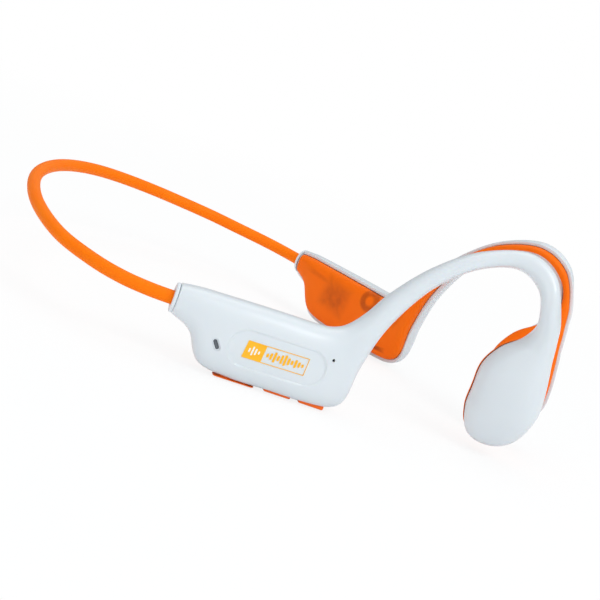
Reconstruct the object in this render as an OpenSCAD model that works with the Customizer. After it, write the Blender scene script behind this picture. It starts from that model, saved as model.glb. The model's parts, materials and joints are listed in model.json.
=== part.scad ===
// Open-ear bone conduction headphones: two hooked side units joined by a sprung neckband.
// Wearer faces -Y, +Z is up, the wearer's left unit is on +X. Millimetres.
// Origin: middle of the bounding box in plan, at its lowest point.

/* [View] */
// Sub-part to draw, or all

/* [Neckband] */
// Outside diameter of the silicone band
band_diameter = 3.8; // [3:0.1:6]
// Bore through the silicone band
band_bore = 2.6; // [1.6:0.1:3]
// Diameter of the titanium spring wire in the band
band_wire = 1.0; // [0.6:0.1:1.4]
// Diameter of the signal cable in the band
band_cable = 1.0; // [0.6:0.1:1.4]
// Height of the band's back above its two ends
band_rise = 8.4; // [0:0.2:14]

/* [Side units] */
// Wall thickness of the outer shells
wall = 1.2; // [0.8:0.1:1.6]
// Gap between the outer shell and the inner cover
cover_gap = 0.16; // [0.08:0.02:0.3]
// Wall thickness of the inner cover
cover_wall = 0.75; // [0.6:0.05:1.4]
// Corner sharpness of the outer face (2 is an ellipse)
outer_power = 2.4; // [2:0.1:4]
// Corner sharpness of the inner cover
inner_power = 2.8; // [2:0.1:4]
// Depth of the racetrack recess in the outer face
recess_depth = 0.4; // [0.1:0.05:0.6]

/* [Controls] */
// How far the keys and the port flap stand out of the housing
key_proud = 0.5; // [0.3:0.05:1.2]
// Travel of the volume keys
key_travel = 0.35; // [0.2:0.05:0.6]
// Width of the volume keys
key_width = 2.6; // [2:0.1:3.5]
// Gap round keys, flap and play button
key_gap = 0.25; // [0.15:0.05:0.5]
// Length of the play button on the left outer face
play_length = 13; // [8:0.5:18]

/* [Transducer] */
// Diameter of the transducer yoke
yoke_diameter = 13; // [10:0.5:14]
// Diameter of the transducer magnet
magnet_diameter = 9; // [6:0.5:10]
// Voice coil wall
coil_wall = 0.5; // [0.3:0.05:0.8]

/* [Hidden] */
front_reach = 96.35;
back_reach = 70 + band_diameter / 2;
drop_y = (front_reach - back_reach) / 2;
bottom_z = 15.84 + key_proud;

// Side profile of a unit, from the band end, over the ear hook, down to the pod tip.
// Each row: forward and height of the outer edge, forward and height of the inner edge,
// thickness towards the outside, thickness towards the skin.
PROFILE = [
    [0, 4.3, 0, -3.9, 3.6, 3.6],
    [5, 4.9, 5.5, -6.8, 4.5, 4.5],
    [12, 5.1, 10.2, -14.0, 5.2, 5.2],
    [20, 5.3, 19, -15.7, 5.4, 5.4],
    [28.5, 5.4, 28.5, -15.6, 5.5, 5.4],
    [36, 5.5, 37, -15.6, 5.4, 5.4],
    [39.6, 6.5, 44.5, -14.8, 5.2, 5.3],
    [42, 8.5, 47.8, -11.5, 5.0, 5.1],
    [44.8, 12.8, 48.2, -2, 4.7, 4.8],
    [48.5, 20.3, 50.6, 10.5, 4.1, 4.2],
    [55.5, 30, 56.6, 23.5, 3.6, 3.7],
    [65, 38.3, 64.8, 32.6, 3.4, 3.4],
    [77, 42.6, 75.6, 37.4, 3.3, 3.3],
    [86.5, 38.8, 83.2, 34, 3.3, 3.3],
    [91.5, 28.6, 86.1, 26.1, 3.6, 3.3],
    [93.0, 21.4, 84.2, 20.1, 4.2, 3.2],
    [93.8, 15.7, 79.3, 14.7, 4.9, 4.0],
    [94.8, 10.1, 76.5, 8.3, 5.4, 5.6],
    [95.8, 2.9, 76.5, 1.0, 5.6, 6.2],
    [95.6, -2.9, 76.8, -5.8, 5.4, 5.9],
    [92.6, -9.3, 79.3, -11.5, 4.2, 4.4],
    [86.1, -13.2, 86.1, -13.2, 0, 0]
];
last = len(PROFILE) - 1;

// Half of the neckband's plan curve, from inside the left housing to the back centre.
BAND = [
    [57.3, -5], [59.5, 0], [62.3, 7], [63.7, 15], [62.4, 25], [56.9, 39],
    [42.2, 55], [22.5, 66.2], [0, 70]
];
band_last = len(BAND) - 1;

// Smooth step between two values.
function ease(a, b, x) =
    let (t = min(1, max(0, (x - a) / (b - a)))) t * t * (3 - 2 * t);

// Extra inward lean of the pod below the ear hook.
function pod_lean(d, z) =
    let (u = max(0, 34 - z))
    ease(57, 75, d) * (0.62 * u * u / (u + 18) * (1 + 0.012 * (d - 84))
    + 4 * (1 - ease(18, 36, z)) * (0.25 + 0.75 * ease(-12, 20, z)));

// Sideways position of a unit's middle surface at forward distance d and height z.
function side(d, z) =
    59.5 - 0.4417 * d - 0.003047 * d * d + 0.00004749 * d * d * d
    - (0.035 + 0.002722 * d) * z - pod_lean(d, z);
function side_d(d, z) = (side(d + 0.05, z) - side(d - 0.05, z)) / 0.1;
function side_z(d, z) = (side(d, z + 0.05) - side(d, z - 0.05)) / 0.1;
function unit(v) = v / norm(v);

// Outward normal of the middle surface, and the point a distance w out of it.
function out(d, z) = unit([1, side_d(d, z), -side_z(d, z)]);
function spot(d, z, w) = [side(d, z), -d, z] + w * out(d, z);

// Catmull-Rom curve through the profile rows; the row past the tip swaps the two edges.
function past_tip(r) = [r[2], r[3], r[0], r[1], -r[4], -r[5]];
function row(i) =
    i < 0 ? 2 * PROFILE[0] - PROFILE[1]
    : i > last ? past_tip(PROFILE[last - 1]) : PROFILE[i];
function curve(a, b, c, d, f) =
    0.5 * (2 * b + (c - a) * f + (2 * a - 5 * b + 4 * c - d) * f * f
    + (3 * b - a - 3 * c + d) * f * f * f);
function profile(t) =
    let (i = min(floor(t), last - 1))
    curve(row(i - 1), row(i), row(i + 1), row(i + 2), t - i);

// A profile row drawn in by g on its outer edge and faces, and by g + more on its inner edge.
function drawn_in(r, g, more = 0) =
    let (
        e = [r[0] - r[2], r[1] - r[3]],
        len = max(0.001, norm(e)),
        k = min(g, 0.42 * len) / len,
        m = min(g + more, 0.42 * len) / len
    )
    [
        r[0] - e[0] * k, r[1] - e[1] * k, r[2] + e[0] * m, r[3] + e[1] * m,
        max(r[4] - g, 0.3 * r[4]), max(r[5] - g, 0.3 * r[5])
    ];

// Shares of the hook and of the pod at profile position t.
function hook_share(t) = ease(6, 8, t);
function pod_share(t) = ease(14.3, 15.6, t);
// Extra width of the hook's inner rim.
function rim_more(t) = 1.1 * hook_share(t) * (1 - pod_share(t));
// How far the cover is drawn in on its outer edge, where the rim shows past the housing.
function cover_in(t) =
    (wall + cover_gap) * (1 - hook_share(t)) + 1.2 * hook_share(t) * (1 - pod_share(t))
    + 0.9 * pod_share(t);
function cover_more(t) =
    (wall + cover_gap) * (1 - pod_share(t)) - 0.3 * pod_share(t) + rim_more(t) - cover_in(t);
function shrunk(r, k) =
    let (m = [(r[0] + r[2]) / 2, (r[1] + r[3]) / 2])
    [
        m[0] + (r[0] - m[0]) * k, m[1] + (r[1] - m[1]) * k,
        m[0] + (r[2] - m[0]) * k, m[1] + (r[3] - m[1]) * k, r[4] * k, r[5] * k
    ];

// Point of a section: e runs from the inner edge (-1) to the outer edge (1).
function place(r, e, w) =
    spot((r[0] + r[2]) / 2 + e * (r[0] - r[2]) / 2, (r[1] + r[3]) / 2 + e * (r[1] - r[3]) / 2, w);
function pow_sign(v, p) = sign(v) * pow(abs(v), p);
function skirt(r) = 0.42 * r[5];

steps = 63;
arc = 12;
function at_step(k) = min(last - 0.04, last * k / steps);
function at_step_inside(k) =
    let (t = at_step(k)) t < last - 2 ? t : last - 2 + (t - last + 2) * 0.86;

// Outer half section: a straight skirt, the rounded face, a straight skirt.
function outer_path(r, depth) = [
    place(r, 1, -depth),
    for (k = [0 : arc])
        let (a = 180 * k / arc)
        place(r, pow_sign(cos(a), 2 / outer_power), r[4] * pow(sin(a), 2 / outer_power)),
    place(r, -1, -depth)
];
function shell_ring(k) =
    let (
        r = profile(at_step(k)),
        q = drawn_in(profile(at_step_inside(k)), wall, rim_more(at_step_inside(k))),
        s = k == steps ? shrunk(q, 0.04) : q,
        a = outer_path(r, skirt(r)),
        b = outer_path(s, min(skirt(r), k == steps ? 0.05 : skirt(r)))
    )
    concat(a, [for (i = [len(b) - 1 : -1 : 0]) b[i]]);

// Whole section drawn in by g, used as the floor of the recess.
function core_ring(t, g) =
    let (r = drawn_in(profile(t), g))
    [
        for (k = [0 : 2 * arc - 1])
            let (a = 180 * k / arc)
            place(r, pow_sign(cos(a), 2 / outer_power), pow_sign(sin(a), 2 / outer_power) * r[4])
    ];

// Inner cover: a domed skin, set in the housing's rim and lapped over the pod's inner one.
cover_steps = 10;
function cover_wall_at(e, s, t) =
    min(cover_wall, s * 0.9) * (1 - hook_share(t) * pow(abs(e), 6));
function cover_ring(k, t0) =
    let (
        t = t0 + (at_step(steps) - t0) * k / (steps - 8),
        full = profile(t),
        r = drawn_in(full, cover_in(t), cover_more(t)),
        s = skirt(full) + 0.1,
        b = max(full[5], s + 0.05)
    )
    concat(
        [for (i = [0 : cover_steps])
            let (e = cos(180 * i / cover_steps))
            place(r, e, -s - (b - s) * pow(max(0, 1 - pow(abs(e), inner_power)), 1 / inner_power))],
        [for (i = [cover_steps : -1 : 0])
            let (e = cos(180 * i / cover_steps))
            place(r, e * 0.98, cover_wall_at(e, s, t) - s
                - (b - s) * pow(max(0, 1 - pow(abs(e), inner_power)), 1 / inner_power))]
    );

// Closed solid through a list of equal rings, with strip caps across each end.
module loft(rings) {
    n = len(rings[0]);
    m = len(rings);
    half = floor(n / 2);
    polyhedron(
        points = [for (r = rings) for (p = r) p],
        faces = concat(
            [for (i = [0 : m - 2]) for (j = [0 : n - 1])
                [i * n + j, i * n + (j + 1) % n, (i + 1) * n + j]],
            [for (i = [0 : m - 2]) for (j = [0 : n - 1])
                [i * n + (j + 1) % n, (i + 1) * n + (j + 1) % n, (i + 1) * n + j]],
            [for (j = [0 : half - 2]) [j, n - 1 - j, j + 1]],
            [for (j = [0 : half - 2]) [j + 1, n - 1 - j, n - 2 - j]],
            [for (j = [0 : half - 2])
                [(m - 1) * n + j, (m - 1) * n + j + 1, (m - 1) * n + n - 1 - j]],
            [for (j = [0 : half - 2])
                [(m - 1) * n + j + 1, (m - 1) * n + n - 2 - j, (m - 1) * n + n - 1 - j]]
        )
    );
}

// Neckband curve: u runs from 0 inside the left housing to 2 inside the right one.
function band_row(i) =
    i < 0 ? 2 * BAND[0] - BAND[1]
    : i > band_last ? [-BAND[2 * band_last - i][0], BAND[2 * band_last - i][1]] : BAND[i];
function band_half(s) =
    let (i = min(floor(s), band_last - 1))
    curve(band_row(i - 1), band_row(i), band_row(i + 1), band_row(i + 2), s - i);
function band_at(u) =
    let (
        s = u > 1 ? 2 - u : u,
        p = band_half(s * band_last),
        y = max(0, p[1])
    )
    [u > 1 ? -p[0] : p[0], p[1], band_rise * y * y / 4900];

// Ring of n points round a path point, in the plane square to the direction given.
function ring_at(p, dir, n, radius, lift) =
    let (
        t = unit(dir),
        a = unit([-t[0] * t[2], -t[1] * t[2], 1 - t[2] * t[2]]),
        b = cross(t, a)
    )
    [for (k = [0 : n - 1])
        p + lift * a + radius * (cos(360 * k / n) * a + sin(360 * k / n) * b)];
function band_rings(n, radius, lift, u0, u1, count) = [
    for (k = [0 : count])
        let (
            u = u0 + (u1 - u0) * k / count,
            dir = band_at(u + 0.002) - band_at(u - 0.002)
        )
        ring_at(band_at(u), dir, n, radius, lift)
];

// Closed tube between two lists of equal rings.
module pipe(outer, inner) {
    n = len(outer[0]);
    m = len(outer);
    k = m * n;
    e = k - n;
    polyhedron(
        points = concat([for (r = outer) for (p = r) p], [for (r = inner) for (p = r) p]),
        faces = concat(
            [for (i = [0 : m - 2]) for (j = [0 : n - 1])
                [i * n + j, i * n + (j + 1) % n, (i + 1) * n + j]],
            [for (i = [0 : m - 2]) for (j = [0 : n - 1])
                [i * n + (j + 1) % n, (i + 1) * n + (j + 1) % n, (i + 1) * n + j]],
            [for (i = [0 : m - 2]) for (j = [0 : n - 1])
                [k + i * n + j, k + (i + 1) * n + j, k + i * n + (j + 1) % n]],
            [for (i = [0 : m - 2]) for (j = [0 : n - 1])
                [k + i * n + (j + 1) % n, k + (i + 1) * n + j, k + (i + 1) * n + (j + 1) % n]],
            [for (j = [0 : n - 1]) [(j + 1) % n, j, k + j]],
            [for (j = [0 : n - 1]) [(j + 1) % n, k + j, k + (j + 1) % n]],
            [for (j = [0 : n - 1]) [e + j, e + (j + 1) % n, k + e + j]],
            [for (j = [0 : n - 1]) [e + (j + 1) % n, k + e + (j + 1) % n, k + e + j]]
        )
    );
}

// Thin round wire down the middle of a hook, between two profile positions.
function hook_at(t, w) =
    let (r = profile(t)) place(r, 0.2, w);
module hook_tube(radius, w, t0, t1, count) {
    loft([
        for (k = [0 : count])
            let (
                t = t0 + (t1 - t0) * k / count,
                dir = hook_at(t + 0.02, w) - hook_at(t - 0.02, w),
                a = out(profile(t)[0], profile(t)[1]),
                b = unit(cross(unit(dir), a))
            )
            [for (i = [0 : 5]) hook_at(t, w) + radius * (cos(60 * i) * a + sin(60 * i) * b)]
    ]);
}

// Local frame on a unit's middle surface: X up, Y forward, Z outwards.
module at_wall(d, z, w = 0) {
    n = out(d, z);
    a = unit([side_d(d, z), -1, 0]);
    b = cross(a, n);
    p = spot(d, z, w);
    multmatrix([
        [b[0], a[0], n[0], p[0]],
        [b[1], a[1], n[1], p[1]],
        [b[2], a[2], n[2], p[2]],
        [0, 0, 0, 1]
    ])
        children();
}
module left() {
    translate([0, drop_y, bottom_z])
        children();
}
module right() {
    translate([0, drop_y, bottom_z])
        mirror([1, 0, 0])
            children();
}
module in_housing() {
    at_wall(26, -5.2)
        children();
}
module in_pod() {
    at_wall(86, 0)
        children();
}
module block(x, y, z) {
    translate([-x / 2, -y / 2, 0])
        cube([x, y, z]);
}
module racetrack(width, length, height) {
    linear_extrude(height = height)
        hull() {
            translate([0, length / 2 - width / 2])
                circle(d = width, $fn = 28);
            translate([0, width / 2 - length / 2])
                circle(d = width, $fn = 28);
        }
}
module rounded(width, length, corner, height) {
    linear_extrude(height = height)
        offset(r = corner, $fn = 16)
            square([width - 2 * corner, length - 2 * corner], center = true);
}

// Moulded outer shell of one side unit, before its openings.
module shell_body() {
    loft([for (k = [0 : steps]) shell_ring(k)]);
}
module recess(d, z, width, length) {
    difference() {
        at_wall(d, z, 1)
            racetrack(width, length, 8);
        loft([for (k = [0 : 24]) core_ring(1.5 + k * 0.22, recess_depth)]);
    }
}
module bottom_slot(d, width, length) {
    at_wall(d, -15.6, 0)
        translate([-4, -length / 2, -width / 2])
            cube([8, length, width]);
}
module cover_body() {
    loft([for (k = [0 : steps - 8]) cover_ring(k, 0.15)]);
}
// Oval end ring and sleeve that seal the band into the housing.
module ferrule_body() {
    at_wall(0, 0.2)
        rotate([-90, 0, 0])
            difference() {
                union() {
                    translate([0, 0, -1])
                        linear_extrude(height = 0.92)
                            scale([4.1, 3.6])
                                circle(r = 1, $fn = 48);
                    translate([-0.2, 0, -0.5])
                        cylinder(h = 3.5, r = band_diameter / 2 + 0.45, $fn = 36);
                }
                translate([-0.2, 0, -2])
                    cylinder(h = 8, r = band_diameter / 2 + 0.15, $fn = 36);
            }
}

// ---- neckband ----
module band_sleeve() {
    color([1.0, 0.48, 0.05])
        left()
            pipe(
                band_rings(12, band_diameter / 2, 0, 0.03, 1.97, 76),
                band_rings(12, band_bore / 2, 0, 0.03, 1.97, 76)
            );
}
module band_spring_wire() {
    color([0.62, 0.62, 0.64])
        left()
            loft(band_rings(6, band_wire / 2, 0.62, 0.005, 1.995, 64));
}
module band_signal_cable() {
    color([0.12, 0.12, 0.13])
        left()
            loft(band_rings(6, band_cable / 2, -0.62, 0.005, 1.995, 64));
}

// ---- shells, covers and ferrules ----
// The shells are meshed in one go, so their thin rims stay exact.
module right_outer_shell() {
    color([0.93, 0.94, 0.95])
        right()
            resize([0, 0, 0])
                difference() {
                    shell_body();
                    recess(27.2, -5.9, 10.4, 27.8);
                    at_wall(12.3, -7.2, 2)
                        rotate([0, 0, 55])
                            racetrack(1.7, 3.6, 6);
                    at_wall(40.35, -1.85, 2)
                        cylinder(h = 6, d = 0.9, $fn = 16);
                    bottom_slot(31.45, key_width + 2 * key_gap, 8.2);
                    bottom_slot(40.4, key_width + 2 * key_gap, 7.7);
                    bottom_slot(20.2, 3.4, 9.8);
                }
}
module left_outer_shell() {
    color([0.93, 0.94, 0.95])
        left()
            resize([0, 0, 0])
                difference() {
                    shell_body();
                    recess(27.2, -5.9, 10.4, 27.8);
                    at_wall(27.2, -5.6, 2)
                        racetrack(4.6 + 2 * key_gap, play_length + 2 * key_gap, 6);
                    at_wall(43.2, -3, 2)
                        cylinder(h = 6, d = 0.9, $fn = 16);
                }
}
module right_inner_cover() {
    color([1.0, 0.4, 0.05])
        right()
            cover_body();
}
module left_inner_cover() {
    color([1.0, 0.4, 0.05])
        left()
            cover_body();
}
module right_ferrule() {
    color([0.85, 0.86, 0.88])
        right()
            ferrule_body();
}
module left_ferrule() {
    color([0.85, 0.86, 0.88])
        left()
            ferrule_body();
}

// Raised badge strip that follows the floor of the recess.
function badge_w(r, e) = r[4] * pow(max(0, 1 - pow(abs(e), outer_power)), 1 / outer_power);
function badge_ring(t) =
    let (r = drawn_in(profile(t), recess_depth))
    concat(
        [for (k = [0 : 5])
            let (e = 0.16 - 0.091 * k) place(r, e, badge_w(r, e) + 0.03)],
        [for (k = [5 : -1 : 0])
            let (e = 0.16 - 0.091 * k) place(r, e, badge_w(r, e) + 0.2)]
    );
module badge() {
    color([0.98, 0.72, 0.08])
        right()
            loft([for (k = [0 : 12]) badge_ring(2.94 + k * 0.154)]);
}

// ---- controls on the right unit ----
module key_body(d, length, flange) {
    at_wall(d, -15.6, 0)
        rotate([0, 90, 0]) {
            hull() {
                translate([0, 0, -key_proud])
                    block(key_width - 0.6, length - 0.6, 0.1);
                translate([0, 0, 0.3 - key_proud])
                    block(key_width, length, 0.1);
            }
            translate([0, 0, 0.35 - key_proud])
                block(key_width, length, 1.4 + key_proud);
            translate([0, (flange[1] - flange[0]) / 2, 1.47])
                block(key_width, length + flange[0] + flange[1], 0.28);
        }
}
module volume_up_key() {
    color([1.0, 0.42, 0.08])
        right()
            key_body(31.45, 7.7, [0.5, 0.5]);
}
module volume_down_key() {
    color([1.0, 0.42, 0.08])
        right()
            key_body(40.4, 7.2, [0.5, 0]);
}
module port_flap() {
    color([1.0, 0.42, 0.08])
        right()
            at_wall(20, -15.7, 0)
                rotate([0, 90, 0]) {
                    translate([0, 0.1, -key_proud])
                        rounded(3.6, 11.6, 1, key_proud - 0.15);
                    translate([0, 0.25, -0.16])
                        rounded(2.2, 8.4, 0.9, 1.2);
                }
}
module usb_c_receptacle() {
    color([0.7, 0.71, 0.73])
        right()
            at_wall(20.2, -14.3, 0)
                rotate([0, 90, 0]) {
                    difference() {
                        rounded(3.16, 8.94, 1.2, 7);
                        translate([0, 0, -1])
                            rounded(2.56, 8.34, 1.1, 7);
                    }
                    translate([-0.35, -3.35, 0.6])
                        cube([0.7, 6.7, 6]);
                }
}

// ---- electronics in the right unit ----
module main_board() {
    color([0.06, 0.3, 0.16])
        right()
            in_housing()
                difference() {
                    translate([-6, -15, -0.6])
                        cube([12.5, 30, 0.8]);
                    translate([-7, -11.6, -1])
                        cube([5.4, 10.2, 2]);
                    for (y = [-13, 13])
                        translate([4.6, y, -1])
                            cylinder(h = 2, d = 1.5, $fn = 24);
                }
}
module rf_shield() {
    color([0.75, 0.76, 0.78])
        right()
            in_housing()
                translate([2.2, 4.5, 0.22])
                    block(6.5, 11, 1.3);
}
module volume_up_switch() {
    color([0.2, 0.2, 0.22])
        right()
            at_wall(31.45, -15.6, 0)
                translate([3.1, 0, -1])
                    block(1.9, 4.2, 2);
}
module volume_down_switch() {
    color([0.2, 0.2, 0.22])
        right()
            at_wall(40.4, -15.6, 0)
                translate([3.1, 0, -1])
                    block(1.9, 4.2, 2);
}
module status_led() {
    color([0.95, 0.95, 0.85])
        right()
            at_wall(12.3, -7.2, 0.45)
                rotate([0, 0, 55])
                    block(0.9, 1.6, 0.5);
}
module led_window() {
    color([0.35, 0.37, 0.4])
        right()
            at_wall(12.3, -7.2, 1)
                rotate([0, 0, 55])
                    racetrack(1.5, 3.4, 3.9);
}
module mic_capsule() {
    color([0.55, 0.55, 0.57])
        right()
            at_wall(40.35, -1.85, 2.1)
                cylinder(h = 1.2, d = 4, $fn = 32);
}
module mic_mesh() {
    color([0.12, 0.12, 0.13])
        right()
            at_wall(40.35, -1.85, 3.42)
                cylinder(h = 0.2, d = 2.4, $fn = 32);
}
module antenna() {
    color([0.85, 0.6, 0.25])
        right()
            in_housing()
                translate([4.6, 0, 2.4])
                    block(3, 24, 0.15);
}
module board_screws() {
    color([0.5, 0.5, 0.52])
        right()
            in_housing()
                for (y = [-13, 13])
                    translate([4.6, y, 0]) {
                        translate([0, 0, -3])
                            cylinder(h = 3.3, d = 1.3, $fn = 24);
                        translate([0, 0, 0.25])
                            cylinder(h = 0.6, d = 2.4, $fn = 24);
                    }
}

// ---- parts in the left unit ----
module play_button() {
    color([0.93, 0.94, 0.95])
        left()
            at_wall(27.2, -5.6, 3.25) {
                racetrack(5.6, play_length + 1, 0.5);
                racetrack(4.6, play_length, 2.2);
            }
}
module play_switch() {
    color([0.2, 0.2, 0.22])
        left()
            at_wall(27.2, -5.6, 1.7)
                block(3.4, 3.4, 1.15);
}
module battery() {
    color([0.16, 0.17, 0.2])
        left()
            in_housing()
                translate([-0.2, 1.5, -3])
                    rounded(12.4, 26, 1.2, 3.8);
}
module battery_pad() {
    color([0.3, 0.3, 0.31])
        left()
            in_housing()
                translate([-0.2, 1.5, 0.85])
                    block(10, 22, 0.5);
}
module protection_board() {
    color([0.06, 0.3, 0.16])
        left()
            in_housing()
                translate([0.5, -15, -0.9])
                    block(7, 5.4, 0.8);
}
module talk_mic() {
    color([0.15, 0.15, 0.16])
        left()
            at_wall(43.2, -3, 1.9) {
                difference() {
                    cylinder(h = 1.7, d = 5, $fn = 32);
                    translate([0, 0, -1])
                        cylinder(h = 4, d = 3.4, $fn = 32);
                }
                cylinder(h = 1.3, d = 3.4, $fn = 32);
            }
}

// ---- hooks ----
module right_hook_wire() {
    color([0.62, 0.62, 0.64])
        right()
            hook_tube(0.45, 0.75, 6.3, 15.6, 30);
}
module right_hook_cable() {
    color([0.12, 0.12, 0.13])
        right()
            hook_tube(0.4, -0.55, 6.3, 15.6, 30);
}
module left_hook_wire() {
    color([0.62, 0.62, 0.64])
        left()
            hook_tube(0.45, 0.75, 6.3, 15.6, 30);
}
module left_hook_cable() {
    color([0.12, 0.12, 0.13])
        left()
            hook_tube(0.4, -0.55, 6.3, 15.6, 30);
}

// ---- bone conduction transducers ----
module yoke_body() {
    in_pod()
        difference() {
            translate([0, 0, -0.4])
                cylinder(h = 3, d = yoke_diameter, $fn = 40);
            translate([0, 0, -1.4])
                cylinder(h = 3.2, d = yoke_diameter - 1.4, $fn = 40);
        }
}
module magnet_body() {
    in_pod()
        translate([0, 0, 0.2])
            cylinder(h = 1.58, d = magnet_diameter, $fn = 40);
}
module coil_body() {
    in_pod()
        difference() {
            translate([0, 0, -0.75])
                cylinder(h = 2, d = magnet_diameter + 0.6 + 2 * coil_wall, $fn = 40);
            translate([0, 0, -2])
                cylinder(h = 5, d = magnet_diameter + 0.6, $fn = 40);
        }
}
module spring_plate_body() {
    in_pod()
        translate([0, 0, -0.64])
            difference() {
                cylinder(h = 0.2, d = yoke_diameter, $fn = 40);
                translate([0, 0, -1])
                    cylinder(h = 3, d = magnet_diameter + 1.2 + 2 * coil_wall, $fn = 40);
            }
}
module drive_plate_body() {
    in_pod()
        translate([0, 0, -1.6])
            cylinder(h = 0.8, d = yoke_diameter - 0.6, $fn = 40);
}
module pod_foam_body() {
    in_pod()
        translate([0, 0, -4.7])
            cylinder(h = 3.05, d = 10, $fn = 40);
}
module right_yoke() {
    color([0.5, 0.5, 0.53])
        right()
            yoke_body();
}
module right_magnet() {
    color([0.72, 0.73, 0.76])
        right()
            magnet_body();
}
module right_voice_coil() {
    color([0.72, 0.36, 0.15])
        right()
            coil_body();
}
module right_spring_plate() {
    color([0.8, 0.78, 0.72])
        right()
            spring_plate_body();
}
module right_drive_plate() {
    color([0.25, 0.26, 0.28])
        right()
            drive_plate_body();
}
module right_pod_foam() {
    color([0.35, 0.35, 0.36])
        right()
            pod_foam_body();
}
module left_yoke() {
    color([0.5, 0.5, 0.53])
        left()
            yoke_body();
}
module left_magnet() {
    color([0.72, 0.73, 0.76])
        left()
            magnet_body();
}
module left_voice_coil() {
    color([0.72, 0.36, 0.15])
        left()
            coil_body();
}
module left_spring_plate() {
    color([0.8, 0.78, 0.72])
        left()
            spring_plate_body();
}
module left_drive_plate() {
    color([0.25, 0.26, 0.28])
        left()
            drive_plate_body();
}
module left_pod_foam() {
    color([0.35, 0.35, 0.36])
        left()
            pod_foam_body();
}

band_sleeve();
band_spring_wire();
band_signal_cable();
right_outer_shell();
right_inner_cover();
right_ferrule();
badge();
volume_up_key();
volume_down_key();
port_flap();
usb_c_receptacle();
main_board();
rf_shield();
volume_up_switch();
volume_down_switch();
status_led();
led_window();
mic_capsule();
mic_mesh();
antenna();
right_hook_wire();
right_hook_cable();
right_yoke();
right_magnet();
right_voice_coil();
right_spring_plate();
right_drive_plate();
right_pod_foam();
board_screws();
left_outer_shell();
left_inner_cover();
left_ferrule();
play_button();
play_switch();
battery();
battery_pad();
protection_board();
talk_mic();
left_hook_wire();
left_hook_cable();
left_yoke();
left_magnet();
left_voice_coil();
left_spring_plate();
left_drive_plate();
left_pod_foam();
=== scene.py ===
"""Looks of the open-ear bone conduction headphones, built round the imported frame.

Everything is in metres in the frame's axes: the wearer faces -Y, +Z is up and
the wearer's left unit is on +X. Shapes are worked out in millimetres from the
same side profile and neckband curve as the solid parts, and then scaled.
"""

import json
import logging
import math
from dataclasses import dataclass
from enum import Enum
from typing import Sequence

import bpy
import numpy as np
from mathutils import Matrix, Vector


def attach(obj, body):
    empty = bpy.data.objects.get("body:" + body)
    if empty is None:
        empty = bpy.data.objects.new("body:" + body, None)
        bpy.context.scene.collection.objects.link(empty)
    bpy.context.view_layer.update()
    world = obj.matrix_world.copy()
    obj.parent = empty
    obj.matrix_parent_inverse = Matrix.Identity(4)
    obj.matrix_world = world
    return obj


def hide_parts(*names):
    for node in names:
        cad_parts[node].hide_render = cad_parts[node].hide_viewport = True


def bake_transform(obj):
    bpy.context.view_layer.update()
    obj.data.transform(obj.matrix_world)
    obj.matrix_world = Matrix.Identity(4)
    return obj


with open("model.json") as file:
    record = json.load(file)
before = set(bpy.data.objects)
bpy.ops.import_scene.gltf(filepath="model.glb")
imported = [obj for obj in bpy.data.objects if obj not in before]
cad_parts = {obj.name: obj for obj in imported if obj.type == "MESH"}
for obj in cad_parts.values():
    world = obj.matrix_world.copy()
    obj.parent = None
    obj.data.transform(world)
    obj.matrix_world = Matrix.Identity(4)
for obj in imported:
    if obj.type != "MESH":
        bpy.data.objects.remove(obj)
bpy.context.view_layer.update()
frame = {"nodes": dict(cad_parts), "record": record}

LOG = logging.getLogger("headphones")
Array = np.ndarray
MM = 0.001
# Angle in degrees above which an edge stays sharp on a shape with openings.
CUT_SHARP = 38.0

# Places on a unit are forward and height on its middle surface, in millimetres.
RECESS_AT = (27.2, -5.9)
PLAY_AT = (27.2, -5.6)
WINDOW_AT = (12.3, -7.2)
WINDOW_TILT = 55.0
BADGE_START = 19.0
UNDERSIDE_Z = -15.6
KEY_UP_D = 31.45
KEY_DOWN_D = 40.4
RECESS_DEPTH = 0.42
# Share of the thickness towards the skin that the white shell's skirt covers.
SKIRT_SHARE = 0.42
# Painted shade on the tinted cover where parts sit behind it: forward and height, half length and
# half height, turn, ring width (0 for a box), softness of the edge, darkness of the painted shade.
PAINTED_SHADE_PATCHES = (
    ((20.0, -3.4), (4.9, 4.4), 8.0, 0.0, 0.55, 0.42),
    ((12.5, 0.2), (6.0, 0.7), 4.0, 0.0, 1.0, 0.26),
    ((32.5, 1.5), (3.4, 3.4), 0.0, 0.22, 1.3, 0.55),
    ((40.3, -11.2), (2.5, 0.7), -6.0, 0.0, 0.7, 0.7),
    ((43.4, 2.0), (1.3, 3.2), 20.0, 0.0, 0.8, 0.32),
)


class Side(Enum):
    """The wearer's two sides; the value is the sign of X."""

    LEFT = 1.0
    RIGHT = -1.0

    @property
    def word(self) -> str:
        """Lower-case name used in node names."""
        return self.name.lower()

    @property
    def body(self) -> str:
        """Name of the moving body of this side."""
        return f"{self.word}_unit"


# ---------------------------------------------------------------- geometry


def ease(low: float, high: float, x: Array) -> Array:
    """Smooth step: 0 below low, 1 above high, 3t^2 - 2t^3 between."""
    t = np.clip((x - low) / (high - low), 0.0, 1.0)
    return t * t * (3.0 - 2.0 * t)


def pow_sign(v: Array, p: float) -> Array:
    """Power of the size of v that keeps the sign of v."""
    return np.sign(v) * np.abs(v) ** p


def unit(v: Array) -> Array:
    """Vectors scaled to length one along the last axis."""
    return v / np.maximum(np.linalg.norm(v, axis=-1, keepdims=True), 1e-12)


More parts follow.
